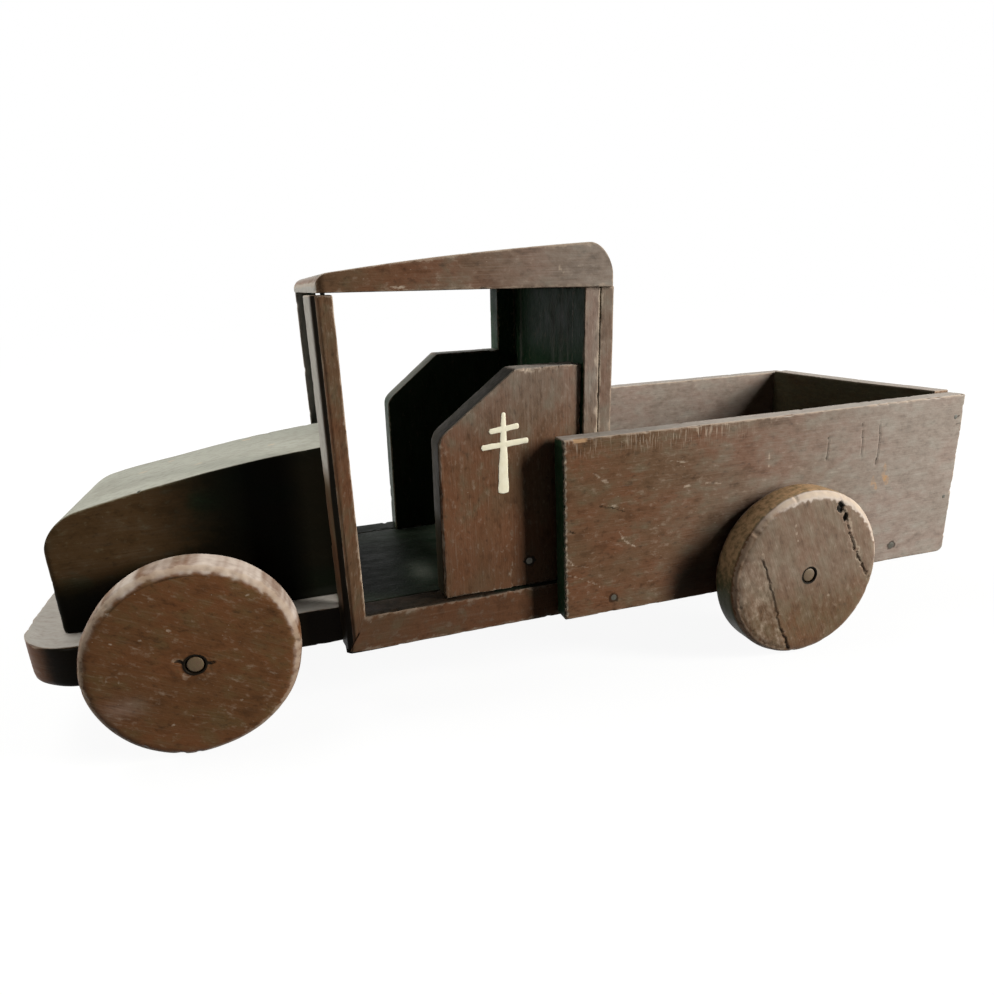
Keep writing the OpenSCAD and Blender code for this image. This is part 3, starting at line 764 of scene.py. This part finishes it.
def floor_board():
    """Long floor board: narrow under the bonnet and the cab, wide between the box sides,
    bowed up a little at the front. Its front edge is a little fuller in the middle, and its
    front corners are round, the right one tighter."""
    length, thick, middle = X_NOSE - X_FLOOR_BACK, Z_FLOOR - Z_UNDER, 60
    left_r, right_r = 24, 20.5

    def shape(p):
        x = X_FLOOR_BACK + p[:, 0]
        r = np.where(p[:, 1] > middle, right_r, left_r)
        half = Y_NARROW - dip(x - X_NOSE + r, r)
        half = np.where(x < X_STEP - 0.05, Y_SIDE, half)
        y = half * (1 - p[:, 1] / middle)
        z = Z_UNDER + p[:, 2] + bow(x) * (0.5 + p[:, 2] / (2 * thick))
        return np.column_stack([x + 1.4 * smooth(x, 205, 225) * smooth(y, 36, 8), y, z])

    def detail(w, away, edge, paint):
        x, y, z = w.T
        side = smooth(np.abs(away[:, 1]) + np.abs(away[:, 0]), 0.4, 0.8)
        # Painted shade: the board's sides and front end dark, all but the nose
        paint.dark += 0.85 * side * smooth(x, 223, 208)
        paint.red += 1.5 * side * smooth(x, 212, 222)
        groove = smooth(np.abs((z - 0.12 * y + noise(w, (9, 9, 9), 75)) % 3.1 - 1.5), 0.5, 0.2)
        paint.dark += 0.6 * groove * side * smooth(x, 219, 223) \
            * smooth(noise(w, (4, 4, 9), 76), 0.4, 0.6)
        # Dark green inside the cab, free of dust and painted darker towards the front as shade,
        # with a painted patch of light near the left door
        inside = facing(away, 2) * smooth(x, 100, 96)
        glow = np.exp(-((x - 56) / 7) ** 2 - ((y - 22) / 14) ** 2)
        paint.red -= 1.2 * inside * (x > X_STEP)
        paint.dark += 0.66 * inside * smooth(x, 20, 50) * (1 - 0.5 * glow)
        paint.grey += inside * (0.16 * glow - 0.5)
        return 0.25 * groove * side * (x > 215)

    def worn(p):
        return 1.2 + 2.0 * smooth(p[:, 0], 412, 425) * (p[:, 2] < 8)

    step = X_STEP - X_FLOOR_BACK
    a = np.concatenate([[0, 0.4, 1, 1.8], np.arange(4, 193, 4),
                        step + np.array([-0.3, -0.1, 0, 0.2, 2.2]), np.arange(202, 289, 3.0),
                        np.arange(290, 415.5, 1.3), round_end(length, left_r, 34)])
    board("long_floor_board", "floor_board", (length, 2 * middle, thick), shape, "body_paint",
          step=(1, 1.6, 0.8), radius=worn, seed=21, detail=detail, dust_and_sheen=0.62, a=a)


def bonnet():
    """Bonnet block on the bowed board: a sloping, slightly swollen top that runs into a
    round nose and falls a little to the right, and round upright front edges."""
    length, height = X_BONNET - X_BONNET_BACK, 60
    slope, swell, nose_r, edge_r = math.radians(9), 8.8, 20.0, 3
    c_x = X_BONNET - nose_r
    run = c_x - X_BONNET_BACK
    c_z = Z_BONNET - run * math.tan(slope) - nose_r / math.cos(slope)
    angle = math.radians(90) - slope - math.atan(swell / run)
    end_x, end_z = c_x + nose_r * math.cos(angle), c_z + nose_r * math.sin(angle)

    def shape(p):
        x = X_BONNET_BACK + p[:, 0]
        t = np.clip((x - X_BONNET_BACK) / (end_x - X_BONNET_BACK), 0, 1)
        top = Z_BONNET + (end_z - Z_BONNET) * t + swell * t * (1 - t)
        top = np.where(x > end_x, c_z + nose_r - dip(x - c_x, nose_r), top)
        to_right = p[:, 1] / (2 * Y_BONNET)
        top = top - (0.9 + 0.5 * t) * (1 - 0.9 * smooth(x, 160, 190)) * to_right
        low = Z_FLOOR + bow(x)
        half = Y_BONNET - dip(x - X_BONNET + edge_r, edge_r)
        return np.column_stack([x, half * (1 - p[:, 1] / Y_BONNET),
                                low + (top - low) * p[:, 2] / height])

    def detail(w, away, edge, paint):
        x, y, z = w.T
        side, top = facing(np.abs(away), 1), smooth(away[:, 2], 0.4, 0.8)
        edge += 6 * (1 - side) * smooth(x, 203, 207)
        # Painted shade: the sides darker towards the back and towards the bottom
        paint.dark += side * (0.85 * smooth(x, 205, 125) + 0.75 * smooth(z, 82, 62))
        paint.red += 1.2 * side * smooth(x, 150, 190) * smooth(z, 70, 85)
        paint.red += 1.5 * side * (noise(w, (15, 9, 10), 87) - 0.5)
        paint.grey += 0.25 * side * smooth(z, 53.5, 50.5)
        paint.grey -= 0.5 * top * noise(w, (30, 18, 9), 82)
        paint.mark += 0.8 * top * spots(w[:, :2], (
            (175.7, -9.8, 2.2, 1.2), (165.3, -21.4, 1.8, 1.2), (130.1, -26.3, 2.6, 1.6),
            (150, 8, 1.4, 1), (118, 4, 1.5, 1.2)), 0.9)
        notch = spot(w[:, [0, 2]], (170.4, 107.2), (0.8, 1.6)) * (y > 31)
        paint.dark += notch
        return 0.8 * notch

    a = np.concatenate([[0, 0.4, 1, 1.8], np.arange(2.8, length - nose_r - 0.8, 1.1),
                        round_end(length, nose_r, 30)])
    board("bonnet_block", "bonnet", (length, 2 * Y_BONNET, height), shape, "dark_paint",
          step=(1, 1.1, 1.1), radius=1.0, seed=22, detail=detail, dust_and_sheen=0.95, a=a,
          along=(0, 1, 2))


for side in BOTH:
    box_side(side)
    cab_frame(side)
door(1, 64.6, 34.5, 26.5)
door(-1, 65.5, 29.0, 23.5)
tailgate()
cab_back()
roof()
seat()
floor_board()
bonnet()


# ---------------- wheels

RIM = [(WHEEL_R - RIM_R + RIM_R * math.sin(t), RIM_R - RIM_R * math.cos(t))
       for t in np.linspace(0, math.pi / 2, 13)]
HALF_T = WHEEL_T / 2


def wheel(end, side, grain, seed, fine, detail=None, worn=0.0):
    """Solid disc wheel, turned from a closed profile: inner face, worn rim, tread, outer
    face and the recess for the pin's head. The grain runs across it at that angle; worn mm
    are missing low at the back, and 0.7 of that is added low at the front."""
    x0, y0 = X_AXLE[end], Y_WHEEL[end]
    step = 0.42 if fine else 0.9
    flat = np.arange(RECESS_R + 0.5, WHEEL_R - RIM_R - 0.2, step)
    inner = np.arange(BORE_R + 1.5, WHEEL_R - RIM_R - 0.5, 1.6)
    tread = np.linspace(RIM_R, WHEEL_T - RIM_R, 12)[1:-1]
    recess_z = WHEEL_T - RECESS_T
    profile = [(BORE_R, 0.3), (BORE_R + 0.4, 0)] + [(r, 0) for r in inner] + RIM
    profile += [(WHEEL_R, s) for s in tread]
    profile += [(r, WHEEL_T - s) for r, s in reversed(RIM)]
    profile += [(r, WHEEL_T) for r in flat[::-1]]
    profile += [(RECESS_R + 0.15, WHEEL_T - 0.08), (RECESS_R, WHEEL_T - 0.3),
                (RECESS_R - 0.05, WHEEL_T - 1.2), (RECESS_R - 0.1, recess_z + 0.2),
                (RECESS_R - 0.4, recess_z), (BORE_R + 0.2, recess_z),
                (BORE_R, recess_z - 0.3), (BORE_R, HALF_T)]
    count = 512 if fine else 288
    p, quads, _ = turned(profile, count, True)
    profile = np.array(profile)
    # Outward direction of the profile at each of its points
    run = np.roll(profile, -1, axis=0) - np.roll(profile, 1, axis=0)
    out = np.column_stack([run[:, 1], -run[:, 0]])
    out /= np.linalg.norm(out, axis=1)[:, None]
    out = np.repeat(out, count, axis=0)
    r = np.hypot(p[:, 0], p[:, 1])
    outside = p[:, 2] > HALF_T
    local = p[:, [0, 2, 1]]
    edge = np.hypot(WHEEL_R - r, np.where(outside, WHEEL_T - p[:, 2], p[:, 2]))
    edge = np.maximum(edge - 2.1, 0)
    ca, sa = math.cos(math.radians(grain)), math.sin(math.radians(grain))
    wood = np.column_stack([p[:, 0] * ca + p[:, 1] * sa, p[:, 1] * ca - p[:, 0] * sa, p[:, 2]])
    rim = smooth(r, 34, 38.5)
    depth = 0.18 * noise(wood, (30, 5, 6), seed) + rim * 0.35 * noise(local, (12, 7, 12), seed + 1)
    depth += 0.5 * smooth(noise(local, (3.0, 2.5, 3.0), seed + 2), 0.62, 1) * smooth(edge, 2.2, 0.3)
    paint = clean(len(p))
    if detail:
        outer = smooth(p[:, 2], WHEEL_T - 1.5, WHEEL_T - 0.2) * (r > RECESS_R)
        depth += detail(p[:, :2], outer, paint)
    depth *= smooth(r, RECESS_R + 0.3, RECESS_R + 1.4)
    # Painted shade in and round the recess for the pin's head
    paint.dark += 0.85 * smooth(r, RECESS_R + 1.2, RECESS_R + 0.3) * outside
    moved = np.column_stack([r, p[:, 2]]) - out * depth[:, None]
    flatter = smooth(toward(p, -0.75, -0.66), 0.45, 1.0)
    fuller = 0.7 * smooth(toward(p, 0.75, -0.66), 0.5, 1.0)
    scale = moved[:, 0] / r * (1 + worn / WHEEL_R * (fuller - flatter))
    world = np.column_stack([x0 + p[:, 0] * scale, side * (y0 + moved[:, 1]),
                             Z_AXLE + p[:, 1] * scale])
    paint.edge = np.minimum(edge, 12)
    paint.wood = wood + seed * 41.0
    hand = HAND[side]
    piece(f"{end}_{hand}_disc", world, outward(world, quads).tolist(), vars(paint),
          PAINT["wheel_paint"], f"{end}_{hand}_wheel", [f"wheel_{end}_{hand}"])


def rear_left_face(p, outer, paint):
    """A broken, sunk part on the left with a ragged border, a crack on the right that
    starts in dark holes, small chips and a ragged pale band on the upper rim that is part
    wear and part painted highlight; the face a little greyer as painted sheen, the tread
    olive and painted darker below as shade. p holds the places forward and up from the
    axle, and outer is 1 on the outer face. Returns the depth that is cut."""
    up, radius = p[:, 1], np.hypot(p[:, 0], p[:, 1])
    border = np.array([(7.3, -39.4), (10.4, -32.2), (13.8, -26.1), (16.3, -18.1), (17.3, -13.2),
                       (21.8, -1.0), (26.1, 9.7), (28.5, 15.0)])
    beside = p[:, 0] - np.interp(up, border[:, 1], border[:, 0])
    beside += 1.6 * (flat_noise(p, 2, 77) - 0.5)
    broken = smooth(beside, -0.4, 0.6) * smooth(up, 15, 11) * outer
    step = stroke(p, border[:6], 1.1, 1.3) * smooth(flat_noise(p, 3, 78), 0.38, 0.56)
    crack = stroke(p, [(-14.5, 33), (-17.9, 26.7), (-19.6, 22.5), (-23.1, 14.4), (-26.4, 7.7),
                       (-31.1, 0.1), (-37.4, -9.0)], 1.0, 1.9)
    beside_crack = stroke(p, [(-16.6, 31), (-20, 25), (-22, 20), (-25.4, 13), (-28.6, 6)],
                          1.6, 1.5)
    holes = spot(p, (-14.4, 32.6), (1.7, 3.2), 0.9) + spot(p, (-17.7, 26.6), (1.2, 2.2))
    chips = spots(p, [(x, z, size, size * 1.2) for x, z, size in (
        (27.5, 13.9, 1.3), (10.5, 26.5, 0.7), (9.6, 22.5, 0.8), (8.6, 18.8, 0.7),
        (-12.9, -12.6, 0.8), (38, 12.8, 1.0))], 0.9)
    paint.dark += outer * (0.42 * crack + holes + 0.6 * step)
    paint.mark += broken * (0.16 + 0.2 * flat_noise(p, (3, 6), 79))
    paint.mark += 0.4 * outer * (beside_crack + chips)
    # Painted sheen: the face a little greyer, more towards the top
    paint.grey += outer * (0.1 + 0.12 * smooth(up, -25, 5))
    paint.red -= 0.3 * outer
    # Pale band on the upper rear rim, part wear and part painted highlight, ragged inside
    way = toward(p, -0.35, 0.94)
    start = 39.0 - 1.8 * smooth(way, 0.5, 0.95) + 1.8 * (flat_noise(p, 1.5, 89) - 0.5)
    rim = smooth(radius - start, -0.3, 1.5) * smooth(radius, 41.7, 41.0) * smooth(way, 0.1, 0.95)
    rim *= 0.55 + 0.8 * flat_noise(p, 2.4, 90)
    paint.grey += rim
    paint.mark += 0.4 * rim
    tread = smooth(radius, 41.0, 41.7) * (1 - outer)
    paint.red -= 0.62 * tread
    paint.bare += 0.5 * tread * smooth(toward(p, 0.5, 0.87), 0.0, 0.8)
    # Painted shade: the tread darker below
    paint.dark += 0.5 * tread * smooth(up, 12, -20)
    return outer * (0.6 * crack + holes + 0.4 * step) + 0.45 * broken


def front_left_face(p, outer, paint):
    """Broad pale rim, part wear and part painted highlight, with a painted shade line along
    its upper border; small pale scuffs, a dusty patch, and wood split and rubbed beside
    the pin. It is given and returns what the rear wheel's face does."""
    radius, way = np.hypot(p[:, 0], p[:, 1]), toward(p, -0.35, 0.94)
    fine = flat_noise(p, 1.6, 83) - 0.5
    smear = 0.2 + 1.0 * flat_noise(p, 6, 81) + 0.7 * fine
    # Painted highlight and wear: the upper rim pale
    rim = smear * smooth(radius + 1.6 * fine, 37.4, 39.6) * smooth(way, -0.4, 0.75)
    paint.grey += 0.62 * rim
    paint.mark += 0.2 * rim * smooth(way, 0.3, 0.9)
    # Painted shade along the upper inner border of the rim
    painted_shade_arc = np.exp(-((radius - 37.5) / 0.8) ** 2) * smooth(toward(p, 0.3, 0.95), 0.6, 0.95)
    paint.dark += 0.55 * painted_shade_arc * (0.6 + 0.6 * flat_noise(p, 4, 88))
    paint.grey += 0.2 * outer * np.exp(-((p[:, 0] - 28) / 9) ** 2 - ((p[:, 1] + 13) / 5) ** 2)
    paint.mark += 0.42 * outer * spots(p, [(x, z, size, size * 0.6) for x, z, size in (
        (25.7, 27.2, 0.6), (6.7, 16.3, 0.9), (17.6, 14.3, 0.8), (27.7, 14.7, 0.7),
        (-23.4, 25.9, 0.7), (-25.7, 15.9, 0.7), (12, -24, 0.8), (-15, -20, 0.7))], 1.8)
    paint.mark += 0.3 * outer * stroke(
        p, [(31.4, -1.1), (31.0, 1.4), (28.9, 1.6), (26.8, 0), (27.3, -2.1)], 0.8, 1.2)
    split = stroke(p, [(6.4, 2.6), (3.6, 0.9)], 1.5, 1.0) + 0.5 * spot(
        p, (0.3, -0.2), (6.0, 5.2), 0.6) + stroke(p, [(-3.4, 0.2), (-6.6, -0.6)], 1.5)
    paint.dark += 0.6 * outer * split
    paint.mark += 0.3 * outer * spots(p, ((3.8, -4.4, 2.2, 1.4), (6.6, 3.6, 1.6, 1.3)), 1.0)
    return 0.35 * outer * split


wheel("front", 1, 27, 31, True, front_left_face, 1.3)
wheel("rear", 1, 68, 32, True, rear_left_face)
wheel("front", -1, 20, 33, False)
wheel("rear", -1, 75, 34, False)


# ---------------- nails and pins


def nails(name, node, places_in, head_r, head_t=0.8, shank_r=0.9, dome=0.15,
          material=nail_steel):
    """Nails as one mesh: each place gives the head's middle, the way the nail was driven
    and its length. The head is slightly domed and its edge is round."""
    points, faces = [], []
    start = 0
    for place, way, length in places_in:
        way = Vector(way).normalized()
        side = way.orthogonal().normalized()
        turn = np.array(Matrix((side, way.cross(side), way)).transposed())
        profile = [(0, 0.0), (head_r * 0.3, dome * 0.06), (head_r * 0.6, dome * 0.3),
                   (head_r * 0.85, dome * 0.75), (head_r * 0.97, dome * 1.15),
                   (head_r, dome * 1.6), (head_r, head_t * 0.85), (head_r * 0.94, head_t),
                   (shank_r + 0.15, head_t), (shank_r, head_t + 0.25), (shank_r, length - 1.2),
                   (0, length)]
        p, quads, caps = turned(profile, 48, False)
        points.append(p @ turn.T + np.array(place))
        faces += (quads[:, ::-1] + start).tolist() + (caps[:, ::-1] + start).tolist()
        start += len(p)
    piece(name, np.vstack(points), faces, {}, material, "truck", [node])


nails("box_side_nails", "box_nails",
      [((x, s * Y_BOX, BOX_NAILS_Z), (0, -s, 0), 28) for s in BOTH for x in BOX_NAILS_X], 2.1)
nails("door_side_nails", "door_nails",
      [((DOOR_NAIL[0], s * Y_DOOR, DOOR_NAIL[1]), (0, -s, 0), 33) for s in BOTH], 2.1)
nails("tailgate_side_nails", "tailgate_nails",
      [((-220, s * Y_BOX, z), (0, -s, 0), 28) for s in BOTH for z in (62, 105)], 1.3)
nails("roof_top_nails", "roof_nails",
      [((x, s * ROOF_NAILS_Y, z - ROOF_NAILS_DROP * s), (0, 0, -1), z - ROOF_NAILS_DROP * s - 159)
       for s in BOTH for x, z in ((90.15, 187.12), (-19.1, 195.25))], 1.3)
nails("back_board_nails", "back_nails",
      [((raked(X_BACK, z), s * 57.45, z), (1, 0, -RAKE), 11.5) for s in BOTH
       for z in (99, 151)], 1.3)
for end, pin_end in (("front", 26), ("rear", 39.5)):
    for s in BOTH:
        head = Y_WHEEL[end] + WHEEL_T - 0.2
        nails(f"{end}_{HAND[s]}_pin", f"pin_{end}_{HAND[s]}",
              [((X_AXLE[end], s * head, Z_AXLE), (0, -s, 0), head - pin_end)], 3.2, 1.6, 2.0,
              0.25, pin_steel)


# ---------------- painted cross


def brush_stroke(a, b, wide_a, wide_b, seed):
    """One stroke of thick paint on the left door from a to b (x, z): a strip that arches
    0.11 mm out of the door, with wavy sides and round ends, closed underneath."""
    high, sunk, under_depth = 0.16, 0.05, 0.35
    a, b = np.array(a), np.array(b)
    length = np.linalg.norm(b - a)
    along = (b - a) / length
    across = np.array([-along[1], along[0]])
    t = np.concatenate([[0, 0.15, 0.4, 0.8], np.arange(1.3, length - 1.2, 0.5),
                        length - np.array([0.8, 0.4, 0.15, 0])])
    half = (wide_a + (wide_b - wide_a) * t / length) / 2
    sides = [half * (0.88 + 0.3 * noise(np.column_stack([t, t * 0 + k, t * 0]), (2.4, 1, 1), seed))
             for k in (0, 7)]
    taper = np.sqrt(np.clip(1 - (1 - np.minimum(t, length - t) / 0.8).clip(0, 1) ** 2, 0.02, 1))
    u = np.array([-1, -0.93, -0.7, -0.35, 0, 0.35, 0.7, 0.93, 1])
    wide = np.where(u < 0, sides[0][:, None], sides[1][:, None]) * taper[:, None]
    rise = high * np.sqrt(1 - u ** 2 * 0.999) * np.sqrt(taper)[:, None]
    top = a + along * t[:, None, None] + across * (u * wide)[:, :, None]
    top = np.stack([top[..., 0], Y_DOOR + rise - sunk, top[..., 1]], axis=-1)
    under = top.copy()
    under[..., 1] = Y_DOOR - under_depth
    ring = np.concatenate([top, under[:, ::-1]], axis=1)
    n = np.arange(ring[..., 0].size).reshape(ring.shape[:2])
    return ring.reshape(-1, 3), ring_quads(n).tolist() + [n[0].tolist(), n[-1][::-1].tolist()]


def cross():
    """The cross on the left door: an upright that widens downwards and two bars."""
    points, faces = [], []
    for a, b, wide_a, wide_b, seed in (((21.8, 128.2), (23.2, 92.6), 1.9, 4.9, 1),
                                       ((28.5, 120.4), (15.0, 121.9), 2.3, 2.4, 2),
                                       ((32.3, 113.7), (10.9, 115.1), 2.4, 2.4, 3)):
        start = sum(len(p) for p in points)
        p, f = brush_stroke(a, b, wide_a, wide_b, seed)
        points.append(p)
        faces += [[i + start for i in face] for face in f]
    piece("painted_cross", np.vstack(points), faces, {}, cream_paint, "truck", [])


cross()


# ---------------- stage, light and camera


def seen(tree):
    """1 for the rays that carry the picture: straight, mirrored or through glass."""
    path = add(tree, "LightPath", {}).outputs
    total = path["Is Camera Ray"]
    for kind in ("Is Glossy Ray", "Is Transmission Ray"):
        total = add(tree, "Math", {0: total, 1: path[kind]}, operation="MAXIMUM").outputs[0]
    return total


def stage_floor():
    """Wide white floor. The eye sees the white background, with the truck's soft shadow
    near the middle, where the paper glows a little less than farther out."""
    mesh = bpy.data.meshes.new("floor")
    s = 6.0
    mesh.from_pydata([(-s, -s, 0), (s, -s, 0), (s, s, 0), (-s, s, 0)], [], [(0, 1, 2, 3)])
    material, tree = new_material("white_paper")
    paper = add(tree, "BsdfDiffuse", {"Color": (0.07, 0.07, 0.07, 1)}).outputs[0]
    place = add(tree, "TexCoord", {}).outputs["Object"]
    away = add(tree, "VectorMath", {0: place}, operation="LENGTH").outputs["Value"]
    level = ramp(tree, away, 0.25, 0.7, 0.93, 1.0, "SMOOTHSTEP")
    glow = add(tree, "Emission", {"Color": (1, 1, 1, 1), "Strength": level})
    glowing = add(tree, "AddShader", {0: paper, 1: glow.outputs[0]})
    shown = add(tree, "MixShader", {0: seen(tree), 1: paper, 2: glowing.outputs[0]})
    add(tree, "OutputMaterial", {"Surface": shown.outputs[0]})
    mesh.materials.append(material)
    floor = bpy.data.objects.new("floor", mesh)
    bpy.context.scene.collection.objects.link(floor)


def set_world():
    """White to the camera and in reflections; a dim, faintly green room otherwise."""
    world = bpy.data.worlds.new("white_room")
    bpy.context.scene.world = world
    world.use_nodes = True
    tree = world.node_tree
    tree.nodes.clear()
    white = add(tree, "Background", {"Color": (1, 1, 1, 1), "Strength": 1.0})
    room = add(tree, "Background", {"Color": linear("#cfe2cc"), "Strength": 0.015})
    mix = add(tree, "MixShader", {0: seen(tree), 1: room.outputs[0], 2: white.outputs[0]})
    add(tree, "OutputWorld", {"Surface": mix.outputs[0]})


def soft_light(name, source, distance, wide, high, watts, colour):
    """Soft rectangular lamp at that distance from the truck, in the direction source."""
    lamp = bpy.data.lights.new(name, "AREA")
    lamp.shape = "RECTANGLE"
    lamp.size, lamp.size_y, lamp.energy, lamp.color = wide, high, watts, linear(colour)[:3]
    obj = bpy.data.objects.new(name, lamp)
    middle = Vector((0.0, 0.0, 0.08))
    way = Vector(source).normalized()
    obj.location = middle + way * distance
    obj.rotation_mode = "QUATERNION"
    obj.rotation_quaternion = (-way).to_track_quat("-Z", "Y")
    bpy.context.scene.collection.objects.link(obj)


def set_camera():
    """Camera at the photograph's place, with its view and its lens."""
    right = Vector((-0.95197496, 0.30293629, -0.0444217))
    up = Vector((-0.1284618, -0.26349502, 0.956069))
    forward = Vector((-0.2779231, -0.91586024, -0.2897564))
    lens = bpy.data.cameras.new("camera")
    lens.sensor_width, lens.lens = 36.0, 24.175
    lens.clip_start = 0.01
    camera = bpy.data.objects.new("camera", lens)
    matrix = Matrix((right, up, -forward)).transposed().to_4x4()
    matrix.translation = Vector((107.534, 327.180, 175.830)) * MM
    camera.matrix_world = matrix
    bpy.context.scene.collection.objects.link(camera)
    bpy.context.scene.camera = camera


stage_floor()
set_world()
soft_light("window", (-0.77, 0.56, 0.33), 1.2, 0.24, 0.7, 24.0, "#fffdf6")
soft_light("sky", (0.38, -0.24, 0.9), 1.4, 0.7, 0.7, 14.0, "#fafbf6")
soft_light("doorway", (0.9, -0.1, 0.42), 1.3, 0.4, 0.5, 8.5, "#fafaf2")
set_camera()
bpy.context.scene.view_settings.view_transform = "Standard"
